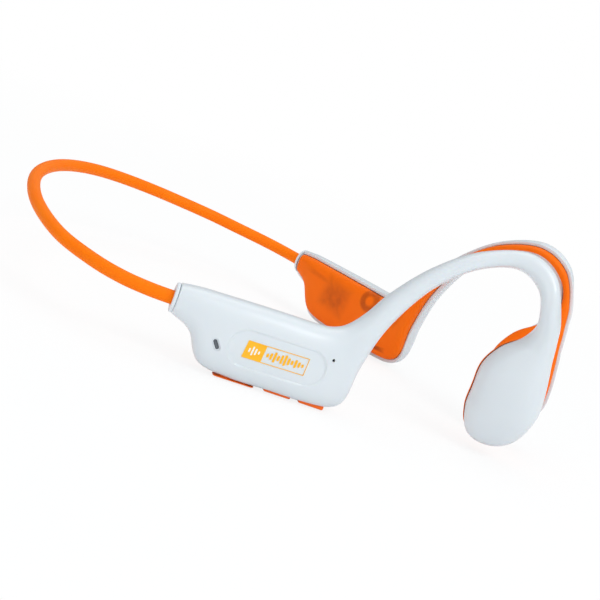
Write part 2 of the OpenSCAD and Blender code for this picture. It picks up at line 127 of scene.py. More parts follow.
def through(points: Array, t: Array) -> Array:
    """Catmull-Rom curve through rows of numbers.

    Args:
        points: One row per knot, with one extra row before and one after.
        t: Places along the curve, 0 at the first real knot.

    Returns:
        One row per place, 0.5 (2b + (c-a)f + (2a-5b+4c-d)f^2 + (3b-a-3c+d)f^3).
    """
    count = len(points) - 3
    i = np.clip(np.floor(t).astype(int), 0, count - 1)
    f = (t - i)[:, None]
    a, b, c, d = (points[i + k] for k in range(4))
    return 0.5 * (
        2 * b + (c - a) * f + (2 * a - 5 * b + 4 * c - d) * f**2
        + (3 * b - a - 3 * c + d) * f**3
    )


@dataclass(frozen=True)
class UnitForm:
    """Middle surface and side profile of one side unit, in millimetres.

    Profile rows: forward and height of the outer edge, forward and height of
    the inner edge, thickness outwards, thickness towards the skin.
    """

    rows: tuple = (
        (0, 4.3, 0, -3.9, 3.6, 3.6), (5, 4.9, 5.5, -6.8, 4.5, 4.5),
        (12, 5.1, 10.2, -14.0, 5.2, 5.2), (20, 5.3, 19, -15.7, 5.4, 5.4),
        (28.5, 5.4, 28.5, -15.6, 5.5, 5.4), (36, 5.5, 37, -15.6, 5.4, 5.4),
        (39.6, 6.5, 44.5, -14.8, 5.2, 5.3), (42, 8.5, 47.8, -11.5, 5.0, 5.1),
        (44.8, 12.8, 48.2, -2, 4.7, 4.8), (48.5, 20.3, 50.6, 10.5, 4.1, 4.2),
        (55.5, 30, 56.6, 23.5, 3.6, 3.7), (65, 38.3, 64.8, 32.6, 3.4, 3.4),
        (77, 42.6, 75.6, 37.4, 3.3, 3.3), (86.5, 38.8, 83.2, 34, 3.3, 3.3),
        (91.5, 28.6, 86.1, 26.1, 3.6, 3.3), (93.0, 21.4, 84.2, 20.1, 4.2, 3.2),
        (93.8, 15.7, 79.3, 14.7, 4.9, 4.0), (94.8, 10.1, 76.5, 8.3, 5.4, 5.6),
        (95.8, 2.9, 76.5, 1.0, 5.6, 6.2), (95.6, -2.9, 76.8, -5.8, 5.4, 5.9),
        (92.6, -9.3, 79.3, -11.5, 4.2, 4.4), (86.1, -13.2, 86.1, -13.2, 0, 0),
    )
    wall: float = 1.2
    cover_gap: float = 0.07
    power: float = 2.4
    cover_power: float = 2.8
    drop_y: float = 12.225
    bottom_z: float = 16.34

    @property
    def last(self) -> int:
        """Index of the pod's tip in the profile."""
        return len(self.rows) - 1

    def knots(self) -> Array:
        """Profile rows with one before the start and one past the tip."""
        rows = np.array(self.rows, float)
        before = 2 * rows[0] - rows[1]
        r = rows[-2]
        past = np.array([r[2], r[3], r[0], r[1], -r[4], -r[5]])
        return np.vstack([before, rows, past])

    def profile(self, t: Array) -> Array:
        """Profile row at each place t along the unit."""
        return through(self.knots(), np.atleast_1d(np.asarray(t, float)))

    def side(self, d: Array, z: Array) -> Array:
        """Sideways place of the middle surface: a cubic in d, less a lean in z.

        Args:
            d: Forward distances, mm.
            z: Heights, mm.

        Returns:
            Distance from the middle of the head at each place, mm.
        """
        u = np.maximum(0.0, 34.0 - z)
        lean = 0.62 * u * u / (u + 18.0) * (1 + 0.012 * (d - 84.0))
        lean = ease(57, 75, d) * (
            lean + 4 * (1 - ease(18, 36, z)) * (0.25 + 0.75 * ease(-12, 20, z))
        )
        plan = 59.5 - 0.4417 * d - 0.003047 * d**2 + 0.00004749 * d**3
        return plan - (0.035 + 0.002722 * d) * z - lean

    @staticmethod
    def hook_share(t: Array) -> Array:
        """1 past the housing, 0 in it."""
        return ease(6.0, 8.0, t)

    @staticmethod
    def pod_share(t: Array) -> Array:
        """1 in the pod, 0 before it."""
        return ease(14.3, 15.6, t)

    def rim_more(self, t: Array) -> Array:
        """Extra width of the hook's inner rim, mm."""
        return 1.1 * self.hook_share(t) * (1 - self.pod_share(t))

    def slopes(self, d: Array, z: Array) -> tuple[Array, Array]:
        """Slopes of side() along d and z, by central differences."""
        e = 0.05
        along = (self.side(d + e, z) - self.side(d - e, z)) / (2 * e)
        up = (self.side(d, z + e) - self.side(d, z - e)) / (2 * e)
        return along, up

    def out(self, d: Array, z: Array) -> Array:
        """Outward unit normal of the middle surface."""
        along, up = self.slopes(d, z)
        return unit(np.stack([np.ones_like(along), along, -up], axis=-1))

    def spot(self, d: Array, z: Array, w: Array) -> Array:
        """Point a distance w out of the middle surface, in frame millimetres."""
        base = np.stack(
            [self.side(d, z), self.drop_y - d, self.bottom_z + z], axis=-1
        )
        return base + np.asarray(w)[..., None] * self.out(d, z)

    @staticmethod
    def half_width(r: Array) -> Array:
        """Half the distance from the outer edge to the inner edge of each row."""
        return np.linalg.norm(r[:, 0:2] - r[:, 2:4], axis=1) / 2

    @staticmethod
    def across(r: Array, e: Array) -> Array:
        """Forward and height at share e of each section, from -1 (inner) to 1 (outer)."""
        upper, lower = r[:, None, 0:2], r[:, None, 2:4]
        return (upper + lower) / 2 + (upper - lower) / 2 * e[..., None]

    def place(self, r: Array, e: Array, w: Array) -> Array:
        """Points of sections: e is -1 on the inner edge and 1 on the outer edge.

        Args:
            r: Profile rows, one per section.
            e: Share across each section, sections by points.
            w: Distance outwards in millimetres, same shape.

        Returns:
            Sections by points by 3, in frame millimetres.
        """
        dz = self.across(r, e)
        return self.spot(dz[..., 0], dz[..., 1], w)

    def wall_frame(self, d: float, z: float, w: float = 0.0) -> tuple[Array, Array]:
        """Local frame on the middle surface: columns up, forward and outwards.

        Args:
            d: Forward distance, mm.
            z: Height, mm.
            w: Distance of the frame out of the surface, mm.

        Returns:
            The 3 by 3 axes, one per column, and the frame's place.
        """
        dd, zz = np.array(float(d)), np.array(float(z))
        n = self.out(dd, zz)
        forward = unit(np.array([self.slopes(dd, zz)[0], -1.0, 0.0]))
        up = np.cross(forward, n)
        return np.stack([up, forward, n], axis=-1), self.spot(dd, zz, np.array(w))

    def underside_frame(self, d: float, z: float) -> tuple[Array, Array]:
        """Wall frame turned to look down: X outwards, Y forward, Z downwards."""
        axes, origin = self.wall_frame(d, z)
        return np.stack([axes[:, 2], axes[:, 1], -axes[:, 0]], axis=-1), origin


FORM = UnitForm()


@dataclass(frozen=True)
class BandForm:
    """Curve of the neckband, in millimetres."""

    plan: tuple = (
        (57.3, -5), (59.5, 0), (62.3, 7), (63.7, 15), (62.4, 25), (56.9, 39),
        (42.2, 55), (22.5, 66.2), (0, 70),
    )
    rise: float = 8.4
    reach: float = 70.0
    radius: float = 1.9

    def at(self, u: Array) -> Array:
        """Points of the half band: u is 0 inside the housing and 1 at the back."""
        p = np.array(self.plan, float)
        knots = np.vstack([2 * p[0] - p[1], p, p[-2] * [-1, 1]])
        xy = through(knots, np.atleast_1d(u) * (len(p) - 1))
        z = self.rise * (np.maximum(0, xy[:, 1]) / self.reach) ** 2
        return np.column_stack([xy[:, 0], xy[:, 1] + FORM.drop_y, z + FORM.bottom_z])


BAND = BandForm()


# ---------------------------------------------------------------- meshes


def smooth_shade(mesh: bpy.types.Mesh, sharp: float | None) -> None:
    """Shades a mesh smooth.

    Args:
        mesh: Mesh to shade.
        sharp: Angle in degrees above which an edge stays sharp; None for no such edge.
    """
    mesh.polygons.foreach_set("use_smooth", [True] * len(mesh.polygons))
    if sharp is not None:
        mesh.set_sharp_from_angle(angle=math.radians(sharp))


def new_piece(name: str, points: Array, faces: Sequence, side: Side | None = None,
              sharp: float | None = 35.0) -> bpy.types.Object:
    """Makes a smooth-shaded mesh object from points in millimetres.

    Args:
        name: Name of the piece.
        points: Rows of X, Y, Z in millimetres, drawn for the left side.
        faces: Index lists, outwards for the left side.
        side: RIGHT mirrors the points in X and turns the faces over; LEFT and None don't.
        sharp: Angle in degrees above which an edge stays sharp; None for no such edge.

    Returns:
        The object, linked to the scene and sitting at the origin.
    """
    pts = np.array(points, float).reshape(-1, 3) * MM
    faces = [list(f) for f in faces]
    if side is Side.RIGHT:
        pts = pts * [-1, 1, 1]
        faces = [f[::-1] for f in faces]
    mesh = bpy.data.meshes.new(name)
    mesh.from_pydata(pts.tolist(), [], faces)
    mesh.validate()
    mesh.update()
    obj = bpy.data.objects.new(name, mesh)
    bpy.context.scene.collection.objects.link(obj)
    smooth_shade(mesh, sharp)
    return obj


def grid_faces(rows: int, cols: int, closed: bool = True) -> Array:
    """Quads of a grid of rings, with the ring closed when asked."""
    i = np.arange(rows - 1)[:, None]
    j = np.arange(cols if closed else cols - 1)[None, :]
    k = (j + 1) % cols
    quads = np.stack([i * cols + j, i * cols + k, (i + 1) * cols + k, (i + 1) * cols + j], -1)
    return quads.reshape(-1, 4)


def strip_cap(first: int, count: int, flip: bool) -> Array:
    """Quads that close a ring of points across its middle, j to count-1-j."""
    j = np.arange(count // 2 - 1)
    cap = np.stack([first + j, first + count - 1 - j, first + count - 2 - j, first + j + 1], -1)
    return cap[:, ::-1] if flip else cap


def ring_solid(name: str, rings: Array, side: Side | None = None,
               sharp: float | None = 35.0) -> bpy.types.Object:
    """Closed solid through equal rings with strip caps.

    Args:
        name: Name of the piece.
        rings: Rings by points by 3, in millimetres.
        side: Which side it is for.
        sharp: Angle kept sharp.

    Returns:
        The object.
    """
    m, n = rings.shape[:2]
    faces = np.vstack([
        grid_faces(m, n), strip_cap(0, n, False), strip_cap((m - 1) * n, n, True),
    ])
    return new_piece(name, rings.reshape(-1, 3), faces.tolist(), side, sharp=sharp)


def tube_rings(path: Array, radius: Array, sides: int) -> Array:
    """Rings square to a path: path + r (a cos + b sin), with a as near to up as it can be.

    Args:
        path: Points along the path, mm.
        radius: One radius, or one for each point, mm.
        sides: Points round each ring.

    Returns:
        Rings by points by 3, in millimetres.
    """
    step = unit(np.gradient(path, axis=0))
    up = np.array([0.0, 0.0, 1.0])
    a = unit(up - (step @ up)[:, None] * step)
    b = np.cross(step, a)
    angle = np.linspace(0, 2 * math.pi, sides, endpoint=False)
    r = np.broadcast_to(np.asarray(radius, float), (len(path),))[:, None, None]
    return path[:, None] + r * (
        np.cos(angle)[None, :, None] * a[:, None] + np.sin(angle)[None, :, None] * b[:, None]
    )


def rounded_outline(half_x: Array, half_y: Array, corner: Array, count: int = 12) -> Array:
    """Rounded rectangles, anticlockwise, one per row of the three sizes.

    Args:
        half_x: Half width of each outline.
        half_y: Half length of each outline.
        corner: Corner radius of each outline.
        count: Points on each corner arc.

    Returns:
        Outlines by points by 2: corner centre plus radius times (cos, sin).
    """
    hx, hy, r = (np.atleast_1d(np.asarray(v, float))[:, None] for v in (half_x, half_y, corner))
    r = np.minimum(r, np.minimum(hx, hy))
    quarter = np.linspace(0, math.pi / 2, count)
    angle = np.concatenate([quarter + k * math.pi / 2 for k in range(4)])[None, :]
    sx = np.repeat([1, -1, -1, 1], count)[None, :]
    sy = np.repeat([1, 1, -1, -1], count)[None, :]
    return np.stack([
        sx * (hx - r) + r * np.cos(angle), sy * (hy - r) + r * np.sin(angle),
    ], axis=-1)


def stack_piece(name: str, axes: Array, origin: Array, heights: Sequence[float],
                insets: Sequence[float], half: tuple[float, float], corner: float,
                side: Side | None = None,
                sharp: float | None = 50.0) -> bpy.types.Object:
    """Solid from rounded rectangles stacked along a local axis.

    Args:
        name: Name of the piece.
        axes: Columns are the local X, Y and the stacking axis.
        origin: Place of the local frame, millimetres.
        heights: Height of each outline, rising.
        insets: How far each outline is drawn in.
        half: Half width along X and half length along Y.
        corner: Corner radius before insets.
        side: Which side it is for.
        sharp: Angle kept sharp.

    Returns:
        The object.
    """
    insets = np.asarray(insets, float)
    heights = np.asarray(heights, float)
    shape = rounded_outline(
        np.maximum(half[0] - insets, 0.02), np.maximum(half[1] - insets, 0.02),
        np.maximum(corner - insets, 0.01),
    )
    centre = np.zeros((1, shape.shape[1], 2))
    shape = np.concatenate([shape[:1] * 0.5, shape, shape[-1:] * 0.5, centre], axis=0)
    shape = np.concatenate([centre, shape], axis=0)
    z = np.concatenate([[heights[0]] * 2, heights, [heights[-1]] * 2])
    zz = np.broadcast_to(z[:, None], shape.shape[:2])
    local = np.concatenate([shape, zz[..., None]], axis=-1)
    world = local @ np.asarray(axes).T + np.asarray(origin)
    m, n = world.shape[:2]
    middle = grid_faces(m, n)[n:-n]
    j = np.arange(n)
    k = (j + 1) % n
    points = np.vstack([world[:1, 0], world[1:-1].reshape(-1, 3), world[-1:, 0]])
    faces = (middle - (n - 1)).tolist()
    faces += np.stack([np.zeros_like(j), 1 + k, 1 + j], -1).tolist()
    top = len(points) - 1
    faces += np.stack([np.full_like(j, top), top - n + j, top - n + k], -1).tolist()
    if np.linalg.det(np.asarray(axes)) < 0:
        faces = [f[::-1] for f in faces]
    return new_piece(name, points, faces, side, sharp=sharp)


def cut(obj: bpy.types.Object, cutters: Sequence[bpy.types.Object]) -> None:
    """Takes the cutters out of the object with an exact Boolean, then removes them.

    Args:
        obj: Piece to cut; its mesh is replaced.
        cutters: Closed shapes.
    """
    for cutter in cutters:
        mod = obj.modifiers.new("cut", "BOOLEAN")
        mod.operation = "DIFFERENCE"
        mod.solver = "EXACT"
        mod.object = cutter
    depsgraph = bpy.context.evaluated_depsgraph_get()
    mesh = bpy.data.meshes.new_from_object(obj.evaluated_get(depsgraph))
    obj.modifiers.clear()
    obj.data = mesh
    for cutter in cutters:
        bpy.data.objects.remove(cutter, do_unlink=True)
    smooth_shade(mesh, CUT_SHARP)


# ---------------------------------------------------------------- materials


def linear(hex_colour: str, alpha: float = 1.0) -> tuple[float, float, float, float]:
    """Linear colour of an sRGB hex string such as "FFAA00"."""
    srgb = np.array([int(hex_colour[i:i + 2], 16) for i in (0, 2, 4)]) / 255.0
    lin = np.where(srgb <= 0.04045, srgb / 12.92, ((srgb + 0.055) / 1.055) ** 2.4)
    return (*[float(v) for v in lin], alpha)


def add_node(tree: bpy.types.NodeTree, kind: str, settings: dict | None = None,
             **inputs: object) -> bpy.types.Node:
    """Adds a node with its settings, input values and links.

    Args:
        tree: Node tree to add to.
        kind: Blender's node type.
        settings: Attributes of the node.
        **inputs: Input values or sockets. A key is the input's name with
            underscores for spaces, or i and its number, such as i6.

    Returns:
        The node.
    """
    node = tree.nodes.new(kind)
    for key, value in (settings or {}).items():
        setattr(node, key, value)
    for key, value in inputs.items():
        by_number = key[0] == "i" and key[1:].isdigit()
        socket = node.inputs[int(key[1:]) if by_number else key.replace("_", " ")]
        if isinstance(value, bpy.types.NodeSocket):
            tree.links.new(value, socket)
        else:
            socket.default_value = value
    return node


@dataclass(frozen=True)
class Finish:
    """One finish: a Principled surface with a mottled tone and a fine grain.

    Attributes:
        name: Common name of the material and how its surface is made.
        colour: Main sRGB hex colour.
        second: sRGB hex colour of the faint mottling.
        roughness: Middle roughness.
        rough_spread: How far roughness wanders either way.
        mottle_mm: Size of the tone patches in millimetres.
        grain_mm: Size of the surface grain in millimetres.
        grain: Bump strength of the grain.
        metallic: 1 for a metal.
        ior: Index of refraction.
        coat: Clear coat weight.
        subsurface: Subsurface weight.
        transmission: Transmission weight.
        specular: Specular level; 0.5 is the plain reflection of the index.
        stretch: Stretch of the grain along X, Y and Z, for brushed or wound work.
    """

    name: str
    colour: str
    second: str
    roughness: float
    rough_spread: float = 0.04
    mottle_mm: float = 9.0
    grain_mm: float = 0.25
    grain: float = 0.05
    metallic: float = 0.0
    ior: float = 1.46
    coat: float = 0.0
    subsurface: float = 0.0
    transmission: float = 0.0
    specular: float = 0.5
    stretch: tuple = (1.0, 1.0, 1.0)

    def build(self) -> bpy.types.Material:
        """Makes the material: a noise mixes the two colours, another raises the grain.

        Returns:
            The material, on Object coordinates.
        """
        mat = bpy.data.materials.new(self.name)
        mat.use_nodes = True
        tree = mat.node_tree
        tree.nodes.clear()
        coords = add_node(tree, "ShaderNodeTexCoord").outputs["Object"]
        mapped = add_node(tree, "ShaderNodeMapping", Vector=coords,
                          Scale=self.stretch).outputs["Vector"]
        tone = add_node(tree, "ShaderNodeTexNoise", Vector=coords,
                        Scale=1.0 / (self.mottle_mm * MM), Detail=3.0).outputs["Fac"]
        grain = add_node(tree, "ShaderNodeTexNoise", Vector=mapped,
                         Scale=1.0 / (self.grain_mm * MM), Detail=2.0).outputs["Fac"]
        colour = add_node(tree, "ShaderNodeMix", {"data_type": "RGBA"}, i0=tone,
                          i6=linear(self.colour), i7=linear(self.second)).outputs[2]
        rough = add_node(tree, "ShaderNodeMapRange", Value=tone,
                         To_Min=self.roughness - self.rough_spread,
                         To_Max=self.roughness + self.rough_spread).outputs["Result"]
        bump = add_node(tree, "ShaderNodeBump", Height=grain, Strength=self.grain,
                        Distance=0.05 * MM).outputs["Normal"]
        shader = add_node(tree, "ShaderNodeBsdfPrincipled", Base_Color=colour,
                          Roughness=rough, Normal=bump, Metallic=self.metallic,
                          Coat_Weight=self.coat, Subsurface_Weight=self.subsurface,
                          Transmission_Weight=self.transmission)
        if not self.metallic:  # a metal keeps the default index
            shader.inputs["IOR"].default_value = self.ior
        shader.inputs["Specular IOR Level"].default_value = self.specular
        if self.subsurface:
            shader.inputs["Subsurface Scale"].default_value = 1.5 * MM
            shader.inputs["Subsurface Radius"].default_value = (1.0, 0.45, 0.2)
        if self.coat:
            shader.inputs["Coat Roughness"].default_value = 0.12
        end = add_node(tree, "ShaderNodeOutputMaterial")
        tree.links.new(shader.outputs["BSDF"], end.inputs["Surface"])
        return mat


FINISHES = {
    # Moulded polycarbonate/ABS, semi-gloss from a polished tool: soft broad highlights.
    "white_shell": Finish("white_pc_abs_semigloss", "DBE1E5", "D5DCE1", 0.30, coat=0.25,
                          subsurface=0.06, mottle_mm=14, grain_mm=0.35, grain=0.03),
    # The same resin from a bead-blasted insert: a little greyer and matt.
    "grey_white_ring": Finish("white_abs_blasted", "DFE5EA", "D9E0E6", 0.48, grain=0.12),
    "white_button": Finish("white_abs_button", "D8E0E6", "D2DBE2", 0.34, coat=0.15),
    # Liquid silicone rubber overmould: even orange, soft low sheen.
    "band_silicone": Finish("orange_liquid_silicone", "FF8000", "FF7400", 0.52, grain=0.10,
                            grain_mm=0.3, subsurface=0.10, ior=1.41, specular=0.15),
    # Clear-tinted polycarbonate skin side: deep orange; on each cover the parts inside are shown
    # as painted shade.
    "orange_cover": Finish("orange_tinted_polycarbonate", "FF7600", "FF6E00", 0.46,
                           transmission=0.05, ior=1.5, specular=0.12,
                           grain_mm=0.4, grain=0.05),
    "key_orange": Finish("orange_silicone_key", "FF7010", "FA680A", 0.48, ior=1.41,
                         subsurface=0.08, grain=0.08),
    "flap_orange": Finish("orange_silicone_flap", "FF7010", "FA680A", 0.48, ior=1.41,
                          subsurface=0.08, grain=0.08),
    # Pad-printed enamel: warm yellow gold, slightly glossy.
    "badge_yellow": Finish("yellow_gold_print", "FDBB1E", "F6B010", 0.36, mottle_mm=3,
                           grain_mm=0.12, grain=0.08),
    "badge_white": Finish("white_print", "F4F3EE", "EEEDE6", 0.4),
    "titanium_wire": Finish("drawn_titanium", "9C9A98", "8A8886", 0.35, metallic=1.0,
                            grain_mm=0.1, grain=0.2),
    "cable_jacket": Finish("black_pvc_jacket", "1C1C1E", "232326", 0.55),
    "receptacle_steel": Finish("stamped_stainless", "C4C6CA", "B2B5BA", 0.3, metallic=1.0),
    "shield_steel": Finish("tinned_steel_can", "C9CACD", "B5B7BB", 0.33, metallic=1.0),
    "board_green": Finish("solder_mask_green", "0E4A2A", "0A3C22", 0.35, coat=0.3,
                          mottle_mm=1.2),
    "switch_black": Finish("black_lcp_switch", "202022", "28282B", 0.5),
    "led_body": Finish("led_epoxy", "F2F0DC", "E8E6CE", 0.2, transmission=0.3),
    # Smoked polycarbonate light pipe: near-black grey with a crisp shine.
    "window_smoke": Finish("smoked_polycarbonate", "5A6168", "4C5259", 0.22, coat=0.4,
                           grain=0.01),
    "mic_can": Finish("nickel_mic_can", "8F9094", "7C7D82", 0.3, metallic=1.0),
    "mesh_black": Finish("woven_black_mesh", "0C0C0E", "18181A", 0.6, grain_mm=0.08,
                         grain=0.5),
    "antenna_brass": Finish("gold_plated_flex", "D9A860", "C89A54", 0.3, metallic=1.0),
    "yoke_steel": Finish("zinc_plated_yoke", "9A9CA2", "85878D", 0.34, metallic=1.0),
    "magnet_nickel": Finish("nickel_plated_ndfeb", "BFC1C4", "ABADB1", 0.2, metallic=1.0),
    "coil_copper": Finish("enamelled_copper", "B8672C", "A3561F", 0.3, metallic=1.0,
                          grain_mm=0.08, grain=0.4, stretch=(1.0, 1.0, 4.0)),
    "spring_steel": Finish("rolled_spring_steel", "CBC8BC", "B9B6AA", 0.25, metallic=1.0),
    "drive_plastic": Finish("black_pa_drive_plate", "2C2E33", "34363B", 0.5),
    "foam_grey": Finish("grey_microcell_foam", "4A4A4C", "3C3C3E", 0.85, grain_mm=0.3,
                        grain=0.7),
    "screw_steel": Finish("black_zinc_screw", "5C5D61", "4C4D51", 0.35, metallic=1.0),
    "battery_pouch": Finish("laminate_pouch", "3C3F46", "34373E", 0.4, metallic=0.6,
                            mottle_mm=4),
}
BUILT: dict[str, bpy.types.Material] = {}


def dress(obj: bpy.types.Object, key: str) -> None:
    """Puts a finish in every material slot of a piece, and makes the finish once.

    Args:
        obj: Piece or CAD node.
        key: Key of its finish.
    """
    if key not in BUILT:
        BUILT[key] = FINISHES[key].build()
    if obj.data.materials:
        for i in range(len(obj.data.materials)):
            obj.data.materials[i] = BUILT[key]
    else:
        obj.data.materials.append(BUILT[key])


def finish_piece(obj: bpy.types.Object, slot: str, body: str | None,
                 replaced: Sequence[str] = ()) -> None:
    """Dresses a piece, names its slot, the nodes it stands for and its body.

    Args:
        obj: The piece.
        slot: Slot of the record, which is also the key of its finish.
        body: Body that it rides on, or None where it rides on no body.
        replaced: CAD nodes that it stands for.
    """
    dress(obj, slot)
    if replaced:
        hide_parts(*replaced)
    if body:
        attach(obj, body)
    LOG.info("%s: %d faces, body %s", obj.name, len(obj.data.polygons), body)


# ---------------------------------------------------------------- sub-assemblies


def tilted(axes: Array, origin: Array, tilt: float) -> tuple[Array, Array]:
    """Wall frame turned about its outward axis: up cos + forward sin, forward cos - up sin.

    Args:
        axes: Columns up, forward and outwards.
        origin: Place of the frame, millimetres.
        tilt: Turn in degrees, from up towards forward.

    Returns:
        The turned axes and the same place.
    """
    c, s = math.cos(math.radians(tilt)), math.sin(math.radians(tilt))
    up, forward, out = axes.T
    return np.stack([up * c + forward * s, forward * c - up * s, out], axis=-1), origin


@dataclass
class OuterShell:
    """White moulded shell of one unit: housing, ear hook and pod in one piece.

    Attributes:
        side: Wearer's side.
        rings: Sections along the unit.
        arc: Points over the rounded face.
        fillet: Radius of the rim's edges, mm.
        mouth: Distance from the band end over which the edge is rounded in, mm.
        recess_size: Width and length of the racetrack recess, mm.
        recess_wall: How far its eased wall reaches inwards and outwards, mm.
    """

    side: Side
    rings: int = 420
    arc: int = 96
    fillet: float = 0.28
    mouth: float = 0.35
    recess_size: tuple = (10.4, 27.8)
    recess_wall: tuple = (-0.42, 0.1)

    def stations(self) -> Array:
        """Places along the unit: close in the housing, wider on the hook."""
        knots = np.array([0.0, 1.0, 2.0, 6.5, 9.0, 15.0, 18.5, FORM.last - 0.012])
        share = np.array([0.0, 0.07, 0.13, 0.5, 0.6, 0.76, 0.9, 1.0])
        return np.interp(np.linspace(0, 1, self.rings), share, knots)

    def recess_depth(self, d: Array, z: Array) -> Array:
        """Depth of the recess: full inside the racetrack, eased over its wall.

        The distance to the racetrack is hypot(x, max(|y| - straight, 0)) - radius
        in the surface's own up and forward directions.

        Args:
            d: Forward distances on the middle surface, mm.
            z: Heights on the middle surface, mm.

        Returns:
            Depth in millimetres at each place.
        """
        width, length = self.recess_size
        axes, origin = FORM.wall_frame(*RECESS_AT)
        rel = FORM.spot(d, z, np.zeros_like(d)) - origin
        x, y = rel @ axes[:, 0], rel @ axes[:, 1]
        run = np.maximum(np.abs(y) - (length - width) / 2, 0)
        away = np.hypot(x, run) - width / 2
        return RECESS_DEPTH * (1 - ease(*self.recess_wall, away))

    def half_path(self, h: Array, b: Array, s: Array, r: Array) -> tuple[Array, Array]:
        """Half a section: rim fillet, skirt, superellipse face, skirt, rim fillet.

        Args:
            h: Half width of each section.
            b: Thickness of each section.
            s: Skirt depth of each section.
            r: Fillet radius of each section, drawn inwards when positive.

        Returns:
            Across and outward coordinates in millimetres, sections by points.
        """
        a = np.linspace(0, math.pi, self.arc)[None, :]
        bow = 2.0 / FORM.power
        face_x = h[:, None] * pow_sign(np.cos(a), bow)
        face_w = b[:, None] * np.abs(np.sin(a)) ** bow
        q = np.linspace(0, math.pi / 2, 5)[None, :]
        arc_x = h[:, None] - r[:, None] * (1 - np.sin(q))
        arc_w = -s[:, None] + np.abs(r)[:, None] * (1 - np.cos(q))
        mid_x = np.broadcast_to(h[:, None], (len(h), 3))
        mid_w = -s[:, None] * np.array([[0.66, 0.4, 0.15]]) + np.zeros_like(mid_x)
        x = np.concatenate([arc_x, mid_x, face_x, -mid_x, -arc_x[:, ::-1]], axis=1)
        w = np.concatenate([arc_w, mid_w, face_w, mid_w[:, ::-1], arc_w[:, ::-1]], axis=1)
        return x, w

    def sections(self) -> Array:
        """Closed rings: the outer half section, then the inner one back again.

        Returns:
            Sections by points by 3, in frame millimetres.
        """
        t = self.stations()
        row = FORM.profile(t)
        edge = self.mouth
        reach = np.linalg.norm(row[:, 0:2] - FORM.profile(np.zeros(1))[:, 0:2], axis=1)
        draw = edge - np.sqrt(np.maximum(0, edge**2 - np.maximum(0, edge - reach) ** 2))
        width = FORM.half_width(row)
        h, b = width - draw, np.maximum(row[:, 4], 0.01) - draw
        s = SKIRT_SHARE * row[:, 5]
        r = np.minimum(self.fillet, 0.25 * np.minimum(width, s + 0.01))
        x, w = self.half_path(h, b, s, r)
        outer = FORM.place(row, x / width[:, None], w)
        dz = FORM.across(row, x / width[:, None])
        depth = self.recess_depth(dz[..., 0], dz[..., 1]) * (w > 0.5)
        outer = outer - depth[..., None] * FORM.out(dz[..., 0], dz[..., 1])
        inside = np.where(t < FORM.last - 2, t, FORM.last - 2 + (t - FORM.last + 2) * 0.86)
        row_in = FORM.profile(inside)
        width_in = FORM.half_width(row_in)
        g = np.minimum(FORM.wall, 0.8 * width_in)
        more = np.minimum(FORM.rim_more(inside), 0.8 * width_in)
        h_in = width_in - g - more / 2
        b_in = np.maximum(row_in[:, 4] - FORM.wall, 0.3 * row_in[:, 4])
        h_in[-1], b_in[-1], more[-1] = 0.02, 0.02, 0.0
        s_in = s.copy()
        s_in[-1] = 0.03
        r_in = -np.minimum(self.fillet, 0.25 * np.minimum(width, s + 0.01))
        r_in[-1] = 0.0
        x_in, w_in = self.half_path(h_in, b_in, s_in, r_in)
        x_in = x_in + more[:, None] / 2
        inner = FORM.place(row_in, x_in / width_in[:, None], w_in)
        return np.concatenate([outer, inner[:, ::-1]], axis=1)

    def cutters(self) -> list[bpy.types.Object]:
        """Shapes of the openings in this side's shell.

        Returns:
            The cutting shapes, which cut() removes.
        """
        pinhole = ((0.42, 0.42), 0.42)
        # Rows: name, wall frame, half width and half length, corner radius.
        if self.side is Side.RIGHT:
            window = tilted(*FORM.wall_frame(*WINDOW_AT), WINDOW_TILT)
            holes = (("cut_window", window, (0.85, 1.8), 0.85),
                     ("cut_mic", FORM.wall_frame(40.35, -1.85), *pinhole))
            slots = (("cut_up", KEY_UP_D, (1.5, 4.05), 0.5),
                     ("cut_down", KEY_DOWN_D, (1.5, 3.8), 0.5),
                     ("cut_port", 20.2, (1.7, 4.9), 1.65))
        else:
            holes = (("cut_play", FORM.wall_frame(*PLAY_AT), (2.5, 6.7), 2.5),
                     ("cut_mic", FORM.wall_frame(43.2, -3.0), *pinhole))
            slots = ()
        made = [stack_piece(name, *where, (2.0, 8.0), (0, 0), half, corner, self.side)
                for name, where, half, corner in holes]
        made += [stack_piece(name, *FORM.underside_frame(d, UNDERSIDE_Z), (-3.2, 3.0), (0, 0),
                             half, corner, self.side)
                 for name, d, half, corner in slots]
        return made

    def build(self) -> None:
        """Makes the shell and lets its openings in."""
        word = self.side.word
        obj = ring_solid(f"{word}_shell", self.sections(), self.side)
        cut(obj, self.cutters())
        finish_piece(obj, "white_shell", self.side.body, [f"{word}_outer_shell"])


